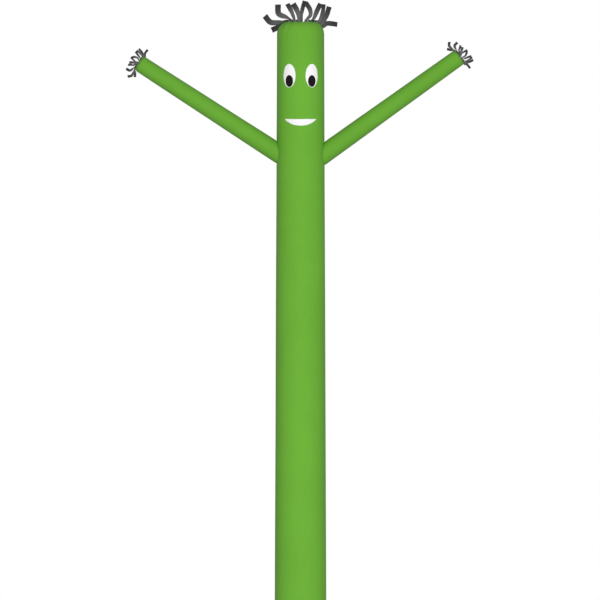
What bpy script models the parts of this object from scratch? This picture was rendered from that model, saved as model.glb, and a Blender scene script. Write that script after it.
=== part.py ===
"""Inflatable air dancer: a tall cloth tube with sleeves, sewn-on face patches and streamer hair.

Metres, +Z up. The tube stands on its open foot at the origin and the face looks along -Y.
Left and right are the viewer's, so the left arm points to -X.
"""

import math
from collections import namedtuple

import bmesh
import bpy
from mathutils import Matrix, Vector
from mathutils.geometry import interpolate_bezier

# Tube
CLOTH = 0.002                 # wall of every cloth piece that holds air
FOOT_DIAMETER = 0.457
SHOULDER_DIAMETER = 0.412     # where the crown starts to close
TUBE_HEIGHT = 5.910           # from the foot to the rim of the crown's vent
CROWN_HEIGHT = 0.112
VENT_RADIUS = 0.100           # open top, inside the turned-in hem
RIM_LIP = 0.008               # flat ring of cloth round the vent
VENT_HEM = 0.026              # how far the hem goes down inside the vent
FOOT_HEM = 0.050              # doubled cloth round the foot
TUBE_SIDES = 64
TUBE_COURSES = 8              # rings of faces along the straight wall
CROWN_COURSES = 6
CROWN_PLEATS = 16
PLEAT_DEPTH = 0.005

# Sleeves: the axis leaves the middle of the tube at a height and rises outwards
SLEEVE_ROOT_DIAMETER = 0.168  # where the axis leaves the tube
SLEEVE_HAND_DIAMETER = 0.146
SLEEVE_SIDES = 32
SLEEVE_COURSES = 5
HAND_CROWN_HEIGHT = 0.030
HAND_VENT_RADIUS = 0.036
HAND_RIM_LIP = 0.003
HAND_VENT_HEM = 0.016
HAND_PLEATS = 9
HAND_PLEAT_DEPTH = 0.002
# Rise is in degrees and reach goes to the hand's rim. The hand's hair is blown sideways, in
# millimetres, and tips over, in degrees.
Arm = namedtuple("Arm", "name side height rise reach blown tipped")
ARMS = (
    Arm("left", -1, 4.637, 32.9, 1.684, -9, -2.7),
    Arm("right", 1, 4.610, 35.6, 1.712, -12, -9.3),
)

# Hair: strips of thin cloth sewn to a band inside each vent
SEWN_GAP = 0.0003             # between pieces that are sewn to each other
BAND_THICKNESS = 0.002
STRIP_THICKNESS = 0.0016
STRIP_ROOT_WIDTH = 0.024
STRIP_ROOT_DEPTH = 0.009      # how far the strip's root runs down the band
STRIP_RISE = 0.008            # straight up from the rim before the strip bends
STRIP_STEPS = 4               # sections between two points of a strip's path
HAND_STRIP_STEPS = 3
WIDENING = 1.45               # a strip is at its full width before its tip
TURN_LENGTH = 0.76            # share of its path that a strip takes to turn its face
HAND_HAIR_SCALE = 0.46        # the hands' strips against the head's
FRONT = 270                   # degrees from +X
# Angles are in degrees from +X: where the strip's root is, and which way the face of its tip
# looks. Places (x, y, z) and the tip's width are in millimetres from the middle of the vent.
# Turns is how far along its path, in hundredths, the strip starts to turn its face.
Strip = namedtuple("Strip", "root near_rim further_out tip tip_width faces turns")
STRIPS = (
    Strip(20, (160, 68, 5), (193, 70, 82), (203, 72, 155), 36, 282, 4),
    Strip(41, (164, 116, -22), (222, 112, 48), (251, 108, 134), 44, 262, 6),
    Strip(63, (166, 174, -44), (234, 134, -12), (321, 106, -22), 44, FRONT, 4),
    Strip(86, (6, 99, 62), (16, 97, 112), (36, 88, 185), 36, 275, 4),
    Strip(108, (-24, 165, -4), (-18, 215, -58), (0, 222, -140), 44, 80, 4),
    Strip(130, (-88, 145, -2), (-105, 196, -50), (-92, 205, -128), 42, 115, 4),
    Strip(152, (-135, 88, 2), (-192, 118, -43), (-252, 130, -72), 48, 280, 4),
    Strip(190, (-150, -22, 3), (-256, -28, -6), (-312, -30, 52), 50, FRONT, 22),
    Strip(214, (-116, -59, 37), (-190, -52, 70), (-197, -40, 152), 50, 275, 20),
    Strip(236, (-70, -92, 66), (-90, -92, 110), (-116, -80, 157), 42, 285, 4),
    Strip(262, (-20, -98, 66), (-38, -95, 112), (-66, -86, 158), 48, FRONT, 4),
    Strip(302, (86, -90, 58), (80, -86, 112), (44, -76, 168), 42, 260, 4),
    Strip(340, (118, -36, 34), (143, -36, 94), (175, -32, 159), 42, 278, 10),
)

# Face: patches cut flat and sewn to the front of the tube
PATCH_THICKNESS = 0.0012
PATCH_GAP = 0.00045           # clears the flats of the many-sided tube
PATCH_COLUMNS = 20
EYE_HEIGHT = 5.438
EYE_SPREAD = 0.1040           # from the middle of the face, along the cloth
EYE_WIDTH = 0.120
EYE_TALL = 0.205
PUPIL_HEIGHT = 5.391
PUPIL_SPREAD = 0.1020
PUPIL_WIDTH = 0.072
PUPIL_TALL = 0.103
MOUTH_TOP = 5.058
MOUTH_WIDTH = 0.296
MOUTH_TALL = 0.056

MILLIMETRE = 0.001


def clear_scene():
    for old in list(bpy.data.objects):
        bpy.data.objects.remove(old)


def add_collection(name):
    collection = bpy.data.collections.new(name)
    bpy.context.scene.collection.children.link(collection)
    return collection


def make_material(name, colour, roughness):
    material = bpy.data.materials.new(name)
    material.use_nodes = True
    shader = material.node_tree.nodes["Principled BSDF"]
    shader.inputs["Base Color"].default_value = (*colour, 1.0)
    shader.inputs["Roughness"].default_value = roughness
    shader.inputs["Metallic"].default_value = 0.0
    return material


def add_object(name, mesh, collection, material=None):
    piece = bpy.data.objects.new(name, mesh)
    collection.objects.link(piece)
    if material:
        mesh.materials.append(material)
    return piece


def as_cutter(piece):
    piece.hide_render = True
    piece.display_type = "WIRE"


def combine(piece, other, operation):
    boolean = piece.modifiers.new(other.name, "BOOLEAN")
    boolean.operation = operation
    boolean.solver = "EXACT"
    boolean.object = other


def turn(name, profile, sides, collection, material=None):
    """Turn a closed outline of (radius, height) points round the Z axis."""
    mesh = bpy.data.meshes.new(name)
    edges = [(i, (i + 1) % len(profile)) for i in range(len(profile))]
    mesh.from_pydata([(radius, 0.0, height) for radius, height in profile], edges, [])
    piece = add_object(name, mesh, collection, material)
    screw = piece.modifiers.new("Turn", "SCREW")
    screw.steps = sides
    screw.render_steps = sides
    screw.use_merge_vertices = True
    screw.merge_threshold = 0.0001
    return piece


def settle(piece):
    """Replace the object's mesh by what its modifiers make of it."""
    bpy.context.view_layer.update()
    shape = piece.evaluated_get(bpy.context.evaluated_depsgraph_get())
    mesh = bpy.data.meshes.new_from_object(shape)
    piece.modifiers.clear()
    piece.data = mesh


def taper(start, end, share):
    return start + (end - start) * share


def tube_radius(height):
    share = height / (TUBE_HEIGHT - CROWN_HEIGHT)
    return taper(FOOT_DIAMETER, SHOULDER_DIAMETER, share) / 2


def crown_curve(top, crown_height, inner_radius, outer_radius, courses):
    """Quarter oval from the rim's lip at the top to the straight wall below."""
    for step in range(courses + 1):
        angle = math.radians(90 - 90 * step / courses)
        yield (
            inner_radius + (outer_radius - inner_radius) * math.cos(angle),
            top - crown_height + crown_height * math.sin(angle),
        )


def air_sleeve_profile(bottom, top, bottom_radius, crown_radius, crown_height, vent_radius,
                       lip, vent_hem, courses, foot_hem=0.0):
    """Outline of a cloth wall with an open foot and a crown drawn in to a hemmed vent.

    It runs up inside the vent, over the crown, down the outside and back up the inside.
    """
    shoulder = top - crown_height
    outside = [(vent_radius, top - vent_hem), (vent_radius, top)]
    outside += crown_curve(top, crown_height, vent_radius + lip, crown_radius, CROWN_COURSES)
    for step in range(1, courses + 1):
        share = step / courses
        outside.append((taper(crown_radius, bottom_radius, share), taper(shoulder, bottom, share)))

    inside = []
    if foot_hem:
        inside += [(bottom_radius - 2 * CLOTH, bottom)]
        inside += [(bottom_radius - 2 * CLOTH, bottom + foot_hem)]
        inside += [(bottom_radius - CLOTH, bottom + foot_hem + CLOTH)]
    else:
        inside += [(bottom_radius - CLOTH, bottom)]
    for step in range(1, courses + 1):
        share = step / courses
        radius = taper(bottom_radius, crown_radius, share) - CLOTH
        inside.append((radius, taper(bottom, shoulder, share)))
    under_crown = crown_curve(top - CLOTH, crown_height - CLOTH, vent_radius + lip,
                              crown_radius - CLOTH, CROWN_COURSES)
    inside += list(under_crown)[-2::-1]
    inside += [(vent_radius + CLOTH, top - CLOTH), (vent_radius + CLOTH, top - vent_hem)]
    return outside + inside


def draw_in(piece, shoulder, crown_height, crown_radius, rim_radius, pleats, depth):
    """Press soft, uneven pleats into the crown between its rim and its shoulder."""
    for vertex in piece.data.vertices:
        radius = math.hypot(vertex.co.x, vertex.co.y)
        rise = (vertex.co.z - shoulder) / crown_height
        reach = (radius - rim_radius) / (crown_radius - rim_radius)
        if rise <= 0 or reach <= 0:
            continue
        slope = math.atan2(rise, reach)
        share = slope / math.radians(90)
        around = math.atan2(vertex.co.y, vertex.co.x)
        strength = 0.7 + 0.3 * math.cos(3 * around + 0.8)
        wave = math.cos(pleats * around + 0.9 * math.sin(2 * around + 1.0))
        push = depth * strength * wave * math.sin(math.pi * share ** 2)
        outward = Vector((math.cos(around) * math.cos(slope), math.sin(around) * math.cos(slope),
                          math.sin(slope)))
        vertex.co += outward * push


def make_tube(collection, material):
    profile = air_sleeve_profile(
        0.0, TUBE_HEIGHT, FOOT_DIAMETER / 2, SHOULDER_DIAMETER / 2, CROWN_HEIGHT,
        VENT_RADIUS, RIM_LIP, VENT_HEM, TUBE_COURSES, FOOT_HEM)
    tube = turn("body_tube", profile, TUBE_SIDES, collection, material)
    settle(tube)
    draw_in(tube, TUBE_HEIGHT - CROWN_HEIGHT, CROWN_HEIGHT, SHOULDER_DIAMETER / 2,
            VENT_RADIUS + RIM_LIP, CROWN_PLEATS, PLEAT_DEPTH)
    return tube


def make_tube_stock(collection):
    """Solid the size of the tube plus the sewing gap, which trims the sleeves' roots."""
    profile = [
        (0.0, TUBE_HEIGHT),
        (SHOULDER_DIAMETER / 2 + SEWN_GAP, TUBE_HEIGHT),
        (SHOULDER_DIAMETER / 2 + SEWN_GAP, TUBE_HEIGHT - CROWN_HEIGHT),
        (FOOT_DIAMETER / 2 + SEWN_GAP, 0.0),
        (0.0, 0.0),
    ]
    stock = turn("tube_stock", profile, TUBE_SIDES, collection)
    as_cutter(stock)
    return stock


def sleeve_frame(arm, along=0.0):
    """Local Z runs along the sleeve, from the middle of the tube or a place further along."""
    lean = Matrix.Rotation(arm.side * math.radians(90 - arm.rise), 4, "Y")
    return Matrix.Translation((0.0, 0.0, arm.height)) @ lean @ Matrix.Translation((0.0, 0.0, along))


def make_sleeve(arm, tube, stock, parts, cutters, material):
    reach = arm.reach
    root = tube_radius(arm.height) / math.cos(math.radians(arm.rise))
    widening = (SLEEVE_ROOT_DIAMETER - SLEEVE_HAND_DIAMETER) / 2 / (reach - root)
    inner_end = root / 2
    inner_radius = SLEEVE_ROOT_DIAMETER / 2 + widening * (root - inner_end)
    profile = air_sleeve_profile(
        inner_end, reach, inner_radius, SLEEVE_HAND_DIAMETER / 2, HAND_CROWN_HEIGHT,
        HAND_VENT_RADIUS, HAND_RIM_LIP, HAND_VENT_HEM, SLEEVE_COURSES)
    sleeve = turn("arm_" + arm.name, profile, SLEEVE_SIDES, parts, material)
    settle(sleeve)
    draw_in(sleeve, reach - HAND_CROWN_HEIGHT, HAND_CROWN_HEIGHT, SLEEVE_HAND_DIAMETER / 2,
            HAND_VENT_RADIUS + HAND_RIM_LIP, HAND_PLEATS, HAND_PLEAT_DEPTH)
    sleeve.matrix_world = sleeve_frame(arm)
    combine(sleeve, stock, "DIFFERENCE")

    # The hole in the tube is as wide as the sleeve's bore.
    far_end = 2 * root
    bore_profile = [
        (0.0, far_end),
        (SLEEVE_ROOT_DIAMETER / 2 - CLOTH + widening * (root - far_end), far_end),
        (SLEEVE_ROOT_DIAMETER / 2 - CLOTH + widening * root, 0.0),
        (0.0, 0.0),
    ]
    bore = turn("bore_" + arm.name, bore_profile, SLEEVE_SIDES, cutters)
    as_cutter(bore)
    bore.matrix_world = sleeve_frame(arm)
    combine(tube, bore, "DIFFERENCE")


def ribbon_path(root, rim, points, steps):
    """Places along a strip: straight up the band, then a smooth curve through its points."""
    stops = [rim] + points
    pulls = [Vector((0.0, 0.0, (stops[1] - rim).length))]
    for before, after in zip(stops, stops[2:]):
        pulls.append((after - before) / 2)
    pulls.append(stops[-1] - stops[-2])
    path = [root]
    for start, end, leave, arrive in zip(stops, stops[1:], pulls, pulls[1:]):
        path += interpolate_bezier(start, start + leave / 3, end - arrive / 3, end, steps + 1)[:-1]
    return path + [stops[-1]]


def around_z(degrees):
    return Vector((math.cos(math.radians(degrees)), math.sin(math.radians(degrees)), 0.0))


def add_ribbon(shape, path, root_across, faces, turns, root_width, tip_width):
    """One flat strip along a path, lying along the band at its root and turned at its tip."""
    facing = around_z(faces)
    across = root_across
    last = len(path) - 1
    sections = []
    for index, place in enumerate(path):
        along = (path[min(index + 1, last)] - path[max(index - 1, 0)]).normalized()
        share = index / last
        turn_share = min(1.0, max(0.0, (share - turns) / TURN_LENGTH))
        swing = turn_share * turn_share * (3 - 2 * turn_share)
        turned = along.cross(facing)
        if turned.dot(across) < 0:
            turned.negate()
        across = across * (1 - swing * turned.length) + turned * swing
        across = (across - along * across.dot(along)).normalized()
        width = taper(root_width, tip_width, min(1.0, WIDENING * share))
        half_width = across * width / 2
        half_thickness = along.cross(across) * STRIP_THICKNESS / 2
        corners = (half_width + half_thickness, half_thickness - half_width,
                   -half_width - half_thickness, half_width - half_thickness)
        sections.append([shape.verts.new(place + corner) for corner in corners])
    for lower, upper in zip(sections, sections[1:]):
        for side in range(4):
            after = (side + 1) % 4
            shape.faces.new((lower[side], lower[after], upper[after], upper[side]))
    shape.faces.new(reversed(sections[0]))
    shape.faces.new(sections[-1])


def make_hair(name, frame, vent_radius, band_depth, scale, blown, sides, steps, parts,
              cutters, material):
    """A band inside a vent's hem with the strips that blow out of it."""
    band_outer = vent_radius - SEWN_GAP
    band_inner = band_outer - BAND_THICKNESS
    band_profile = [
        (band_inner, -SEWN_GAP),
        (band_outer, -SEWN_GAP),
        (band_outer, -band_depth),
        (band_inner, -band_depth),
    ]
    hair = turn(name, band_profile, sides, parts, material)

    shape = bmesh.new()
    for strip in STRIPS:
        outward = around_z(strip.root)
        root_across = around_z(strip.root + 90)
        root = outward * band_inner - Vector((0.0, 0.0, STRIP_ROOT_DEPTH))
        rim = outward * band_inner + Vector((0.0, 0.0, STRIP_RISE * scale))
        points = [blown @ (Vector(place) * MILLIMETRE * scale)
                  for place in (strip.near_rim, strip.further_out, strip.tip)]
        path = ribbon_path(root, rim, points, steps)
        add_ribbon(shape, path, root_across, strip.faces, strip.turns / 100,
                   STRIP_ROOT_WIDTH * scale, strip.tip_width * MILLIMETRE * scale)
    bmesh.ops.recalc_face_normals(shape, faces=shape.faces)
    mesh = bpy.data.meshes.new(name + "_strips")
    shape.to_mesh(mesh)
    shape.free()
    strips = add_object(name + "_strips", mesh, cutters)
    as_cutter(strips)

    for piece in (hair, strips):
        piece.matrix_world = frame
    combine(hair, strips, "UNION")


def wrap(along, height, middle, lift):
    """Lay a flat place, measured along the cloth from the middle of the face, on the tube."""
    turned = along / tube_radius(middle)
    radius = tube_radius(height) + lift
    return Vector((radius * math.sin(turned), -radius * math.cos(turned), height))


def make_patch(name, columns, middle, lift, collection, material):
    """A flat patch from columns of (place along, top, bottom), wrapped onto the tube."""
    shape = bmesh.new()
    edges = []
    for along, top, bottom in columns:
        upper = shape.verts.new(wrap(along, top, middle, lift))
        pointed = math.isclose(top, bottom)
        lower = upper if pointed else shape.verts.new(wrap(along, bottom, middle, lift))
        edges.append((upper, lower))
    for left, right in zip(edges, edges[1:]):
        corners = (left[0], left[1], right[1], right[0])
        shape.faces.new(list(dict.fromkeys(corners)))
    mesh = bpy.data.meshes.new(name)
    shape.to_mesh(mesh)
    shape.free()
    patch = add_object(name, mesh, collection, material)
    solidify = patch.modifiers.new("Cloth", "SOLIDIFY")
    solidify.thickness = PATCH_THICKNESS
    solidify.offset = 1.0


def oval_columns(middle_along, middle_height, width, tall):
    for column in range(PATCH_COLUMNS + 1):
        angle = math.pi * (1 - column / PATCH_COLUMNS)
        rise = tall / 2 * math.sin(angle)
        yield middle_along + width / 2 * math.cos(angle), middle_height + rise, middle_height - rise


def mouth_columns():
    """Straight top edge over a shallow round bottom edge."""
    radius = ((MOUTH_WIDTH / 2) ** 2 + MOUTH_TALL ** 2) / (2 * MOUTH_TALL)
    for column in range(PATCH_COLUMNS + 1):
        along = MOUTH_WIDTH * (column / PATCH_COLUMNS - 0.5)
        depth = math.sqrt(radius ** 2 - along ** 2) - (radius - MOUTH_TALL)
        yield along, MOUTH_TOP, MOUTH_TOP - depth


def make_face(collection, white, black):
    on_patch = PATCH_GAP + PATCH_THICKNESS + SEWN_GAP
    for name, side in (("left", -1), ("right", 1)):
        make_patch("eye_white_" + name,
                   oval_columns(side * EYE_SPREAD, EYE_HEIGHT, EYE_WIDTH, EYE_TALL),
                   EYE_HEIGHT, PATCH_GAP, collection, white)
        make_patch("pupil_" + name,
                   oval_columns(side * PUPIL_SPREAD, PUPIL_HEIGHT, PUPIL_WIDTH, PUPIL_TALL),
                   EYE_HEIGHT, on_patch, collection, black)
    make_patch("mouth", mouth_columns(), MOUTH_TOP, PATCH_GAP, collection, white)


def smooth_shade(collection):
    for piece in collection.objects:
        piece.data.shade_smooth()
        piece.data.set_sharp_from_angle(angle=math.radians(40))


def build():
    clear_scene()
    parts = add_collection("Inflatable air dancer")
    cutters = add_collection("Cutters")
    green = make_material("Green tube cloth", (0.162, 0.451, 0.047), 0.55)
    grey = make_material("Dark grey strip cloth", (0.060, 0.058, 0.062), 0.45)
    white = make_material("White patch cloth", (0.90, 0.90, 0.90), 0.55)
    black = make_material("Black patch cloth", (0.010, 0.010, 0.012), 0.50)

    tube = make_tube(parts, green)
    stock = make_tube_stock(cutters)
    make_hair("hair_head", Matrix.Translation((0.0, 0.0, TUBE_HEIGHT)), VENT_RADIUS, VENT_HEM,
              1.0, Matrix.Identity(4), TUBE_SIDES, STRIP_STEPS, parts, cutters, grey)
    for arm in ARMS:
        make_sleeve(arm, tube, stock, parts, cutters, green)
        blown = Matrix.Translation((arm.blown * MILLIMETRE, 0.0, 0.0))
        blown @= Matrix.Rotation(math.radians(arm.tipped), 4, "Y")
        make_hair("hair_hand_" + arm.name, sleeve_frame(arm, arm.reach), HAND_VENT_RADIUS,
                  HAND_VENT_HEM, HAND_HAIR_SCALE, blown, SLEEVE_SIDES, HAND_STRIP_STEPS, parts,
                  cutters, grey)
    make_face(parts, white, black)
    smooth_shade(parts)


build()
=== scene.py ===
"""Inflatable air dancer, dressed: nylon tube and sleeves, sewn-on face, streamers, stitching."""

from collections import namedtuple
from functools import partial
from math import asin, atan2, cos, dist, exp, hypot, pi, radians, sin, sqrt

import bmesh
import bpy
from mathutils import Matrix, Vector, noise
from mathutils.geometry import interpolate_bezier


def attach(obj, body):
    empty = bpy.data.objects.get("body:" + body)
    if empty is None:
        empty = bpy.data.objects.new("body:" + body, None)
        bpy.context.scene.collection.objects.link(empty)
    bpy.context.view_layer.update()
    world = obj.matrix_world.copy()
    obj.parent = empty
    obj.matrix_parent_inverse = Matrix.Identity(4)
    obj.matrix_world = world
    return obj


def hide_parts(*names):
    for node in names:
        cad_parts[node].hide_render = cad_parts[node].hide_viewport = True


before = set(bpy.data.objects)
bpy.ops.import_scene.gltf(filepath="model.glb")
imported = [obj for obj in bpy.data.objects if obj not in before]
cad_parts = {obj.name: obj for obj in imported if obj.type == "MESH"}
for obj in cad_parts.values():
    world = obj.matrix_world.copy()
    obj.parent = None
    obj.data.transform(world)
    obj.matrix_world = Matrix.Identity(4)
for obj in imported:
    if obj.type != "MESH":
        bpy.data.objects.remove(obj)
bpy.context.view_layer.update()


# ----------------------------------------
# The body tube. One width of green ripstop nylon, closed by a seam down the back. The foot is
# folded in and hemmed, and the top is pleated into a ring round an open vent. A hole in each
# side lets the air into a sleeve.
# ----------------------------------------
FOOT_RADIUS = 0.2285
SHOULDER_RADIUS = 0.2060
SHOULDER = 5.798  # height where the crown starts to close
CROWN_HEIGHT = 0.112
RIM_RADIUS = 0.108
VENT_RADIUS = 0.100
VENT_HEM = 0.026
FOOT_HEM = 0.050
FOOT_STITCHES = (0.009, 0.043)
HEM_FOLD = 0.0013  # radius of the fold at the foot
TUBE_TOP = SHOULDER + CROWN_HEIGHT
CROWN_CLOTH = 0.165  # cloth from the shoulder up to the vent's rim
CLOTH_TOP = SHOULDER + CROWN_CLOTH
NYLON = 0.0008  # cloth and its seams are modelled at this thickness
TUBE_COLUMNS = 160
CROWN_PLEATS = 16
CROWN_PLEAT_DEPTH = 0.003
PLEAT_AT_SHOULDER = 0.15  # share of the pleats' depth that is left at the shoulder
WAVY_FOOT = 0.12  # the cloth is wavier up to this height

# A sleeve's axis leaves the middle of the tube at a height and rises outwards. Its hand's hair
# is blown sideways, in millimetres, and tips over, in degrees.
Sleeve = namedtuple("Sleeve", "name side height rise reach blown tipped")
SLEEVES = (Sleeve("left", -1, 4.637, 32.9, 1.684, -9, -2.7),
           Sleeve("right", 1, 4.610, 35.6, 1.712, -12, -9.3))
SLEEVE_ROOT_RADIUS = 0.084
SLEEVE_HAND_RADIUS = 0.073
HOLE_LAP = 0.001  # how far the tube's edge goes into the sleeve at its hole
PULL_REACH = 0.35  # how far from its seam a sleeve pulls at the tube
SEAM_DIP = 0.0015
SEAM_DIP_WIDTH = 0.008
SEAM_PUCKERS = 15  # round each sleeve seam
SEAM_PUCKER_DEPTH = 0.0016
SEAM_PUCKER_LENGTH = 0.045


def round_place(radius, angle, height):
    """A place at an angle round +Z, from +X."""
    return Vector((radius * cos(angle), radius * sin(angle), height))


def front_place(radius, angle, height):
    """A place at an angle round the tube, from its front."""
    return Vector((radius * sin(angle), -radius * cos(angle), height))


def sleeve_frame(sleeve, along=0.0):
    """Local Z runs along the sleeve, from the middle of the tube or a place further along."""
    lean = Matrix.Rotation(sleeve.side * radians(90 - sleeve.rise), 4, "Y")
    start = Matrix.Translation((0.0, 0.0, sleeve.height))
    return start @ lean @ Matrix.Translation((0.0, 0.0, along))


def wall_radius(height):
    return FOOT_RADIUS + (SHOULDER_RADIUS - FOOT_RADIUS) * height / SHOULDER


def sleeve_radius(sleeve, along):
    root = wall_radius(sleeve.height) / cos(radians(sleeve.rise))
    share = (along - root) / (sleeve.reach - root)
    return SLEEVE_ROOT_RADIUS + (SLEEVE_HAND_RADIUS - SLEEVE_ROOT_RADIUS) * share


INTO_SLEEVE = {sleeve: sleeve_frame(sleeve).inverted() for sleeve in SLEEVES}


def off_sleeve(sleeve, place):
    """How far a place is outside the sleeve's cloth, and its angle round the sleeve."""
    local = INTO_SLEEVE[sleeve] @ place
    if local.z < 0.05:
        return 1.0, 0.0
    outside = hypot(local.x, local.y) - sleeve_radius(sleeve, local.z)
    return outside, atan2(local.y, local.x)


def uneven(angle, height, around, upward):
    """Smooth noise from -1 to 1 that joins up round the tube."""
    return noise.noise(Vector((around * sin(angle), around * cos(angle), upward * height)))


def pleat_wave(angle, pleats):
    """Broad soft ridges between sharper valleys, unevenly spaced."""
    turned = pleats * angle + 0.9 * sin(2 * angle + 1.0)
    strength = 0.7 + 0.3 * cos(3 * angle + 0.8)
    return strength * (0.8 * cos(turned) - 0.2 * cos(2 * turned))


def seam_pull(outside, angle, puckers, depth, phase):
    """Cloth dips into a seam and puckers away from it."""
    if outside > PULL_REACH:
        return 0.0
    near = max(0.0, outside)
    dip = SEAM_DIP * exp(-(near / SEAM_DIP_WIDTH) ** 2)
    wander = 1.3 * sin(2 * angle + phase)
    pucker = cos(puckers * angle + wander) * (0.65 + 0.35 * cos(3 * angle + phase))
    fade = exp(-near / SEAM_PUCKER_LENGTH) * min(1.0, near / SEAM_DIP_WIDTH)
    return depth * pucker * fade - dip


def slow_sway(angle, height):
    return (0.0010 * uneven(angle, height, around=1.6, upward=0.7)
            + 0.0005 * uneven(angle, height + 20.0, around=5.0, upward=1.1))


def wall_slack(angle, height):
    """How far the blown-up cloth stands off an even cone. The angle is 0 at the front."""
    slack = slow_sway(angle, height)
    if height < WAVY_FOOT:
        waves = uneven(angle, height, around=9.0, upward=3.0)
        slack += 0.0011 * waves * (1 - height / WAVY_FOOT)
        for stitched in FOOT_STITCHES:
            slack -= 0.0006 * exp(-((height - stitched) / 0.003) ** 2)
        if height < FOOT_HEM:
            slack += 0.0005
    if height > SHOULDER - 0.25:
        fade = exp((height - SHOULDER) / 0.06)
        depth = CROWN_PLEAT_DEPTH * PLEAT_AT_SHOULDER * fade
        slack += depth * pleat_wave(angle - pi / 2, CROWN_PLEATS)
    place = front_place(wall_radius(height), angle, height)
    for sleeve in SLEEVES:
        outside, turn = off_sleeve(sleeve, place)
        slack += seam_pull(outside, turn, SEAM_PUCKERS, SEAM_PUCKER_DEPTH, sleeve.side)
    return slack


def tube_place(angle, rise, lift=0.0):
    """A place on the tube, rise metres up its cloth from the foot and lift off its outside."""
    if rise <= SHOULDER:
        radius, height, lean = wall_radius(rise), rise, 0.0
        slack = wall_slack(angle, rise)
    else:
        share = min(1.0, (rise - SHOULDER) / CROWN_CLOTH)
        lean = share * pi / 2
        radius = RIM_RADIUS + (SHOULDER_RADIUS - RIM_RADIUS) * cos(lean)
        height = SHOULDER + CROWN_HEIGHT * sin(lean)
        depth = PLEAT_AT_SHOULDER + (1 - PLEAT_AT_SHOULDER) * sin(pi * share ** 2)
        slack = CROWN_PLEAT_DEPTH * depth * pleat_wave(angle - pi / 2, CROWN_PLEATS)
        slack += slow_sway(angle, SHOULDER) * (1 - share)
    radius += (slack + lift) * cos(lean)
    height += (slack + lift) * sin(lean)
    return front_place(radius, angle, height)


def spread(start, end, step):
    """Even places from start up to, but not at, end."""
    count = max(1, round((end - start) / step))
    return [start + (end - start) * i / count for i in range(count)]


def full_turn(count):
    """Even angles once round."""
    return [2 * pi * i / count for i in range(count)]


def even_marks(width, columns):
    """Where each edge between columns lies across the flat cloth."""
    return [width * c / columns for c in range(columns + 1)]


def woven_sheet(name, rows, flats, joined=True, thickness=NYLON, holes=()):
    """Cloth from rows of places. Flats gives each column's and row's place on the flat cloth."""
    shape = bmesh.new()
    laid = shape.loops.layers.uv.new("UVMap")
    grid = [[shape.verts.new(place) for place in row] for row in rows]
    across, along = flats
    columns = len(rows[0])
    for r in range(len(rows) - 1):
        for c in range(columns if joined else columns - 1):
            corners = ((c, r), (c + 1, r), (c + 1, r + 1), (c, r + 1))
            face = shape.faces.new([grid[v][u % columns] for u, v in corners])
            face.smooth = True
            for loop, (u, v) in zip(face.loops, corners):
                loop[laid].uv = (across[u], along[v])
    for sleeve in holes:
        cut_sleeve_hole(shape, sleeve)
    return finish_sheet(name, shape, thickness)


def new_object(name, data):
    made = bpy.data.objects.new(name, data)
    bpy.context.scene.collection.objects.link(made)
    return made


def thicken(piece, thickness, offset):
    solidify = piece.modifiers.new("Cloth thickness", "SOLIDIFY")
    solidify.thickness = thickness
    solidify.offset = offset


def finish_sheet(name, shape, thickness):
    mesh = bpy.data.meshes.new(name)
    shape.to_mesh(mesh)
    shape.free()
    piece = new_object(name, mesh)
    if thickness:
        thicken(piece, thickness, offset=-1.0)
    return piece


def cut_sleeve_hole(shape, sleeve):
    """Cut the tube's mesh along the sleeve seam and take out the cloth inside it."""
    outside = {vert: off_sleeve(sleeve, vert.co)[0] + HOLE_LAP for vert in shape.verts}
    on_seam = set()
    for edge in list(shape.edges):
        start, end = edge.verts
        if outside[start] * outside[end] < 0:
            share = outside[start] / (outside[start] - outside[end])
            new_vert = bmesh.utils.edge_split(edge, start, share)[1]
            outside[new_vert] = 0.0
            on_seam.add(new_vert)
    for face in list(shape.faces):
        ends = [vert for vert in face.verts if vert in on_seam]
        if len(ends) == 2:
            bmesh.utils.face_split(face, *ends)
    inside = [vert for vert in shape.verts if outside[vert] < 0]
    bmesh.ops.delete(shape, geom=inside, context="VERTS")


def make_tube():
    angles = [turn - pi for turn in full_turn(TUBE_COLUMNS)]
    rows, along = [], []
    # The hem, from its inner edge down to the fold and round it.
    for height in (FOOT_HEM, 0.044, 0.038, 0.028, 0.016, 0.009, 0.004):
        rows.append([tube_place(angle, height, -2 * HEM_FOLD) for angle in angles])
        along.append(-height)
    for degrees in (-90, -45, 0, 45, 90):
        fold = radians(degrees)
        row = [tube_place(angle, 0.004, HEM_FOLD * (sin(fold) - 1)) for angle in angles]
        for place in row:
            place.z = HEM_FOLD * (1 - cos(fold))
        rows.append(row)
        along.append(0.0)
    # The wall and the crown, with closer rows at the foot, the sleeve seams and the pleats.
    rises = []
    for start, end, step in ((0.004, 0.06, 0.003), (0.06, 0.15, 0.012), (0.15, 4.56, 0.055),
                             (4.56, 4.98, 0.007), (4.98, 5.70, 0.03), (5.70, SHOULDER, 0.01),
                             (SHOULDER, CLOTH_TOP, 0.0075)):
        rises += spread(start, end, step)
    for rise in rises + [CLOTH_TOP]:
        rows.append([tube_place(angle, rise) for angle in angles])
        along.append(rise)
    # The rim's lip rolls over and hangs down inside the vent as a hem.
    for radius, drop in ((0.1045, -0.0002), (0.1015, 0.0004), (VENT_RADIUS, 0.0025),
                         (VENT_RADIUS, 0.012), (VENT_RADIUS, VENT_HEM)):
        rows.append([front_place(radius, angle, TUBE_TOP - drop) for angle in angles])
        along.append(CLOTH_TOP + (RIM_RADIUS - radius) + drop)

    across = even_marks(pi * (FOOT_RADIUS + SHOULDER_RADIUS), TUBE_COLUMNS)
    return woven_sheet("tube", rows, (across, along), holes=SLEEVES)


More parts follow.
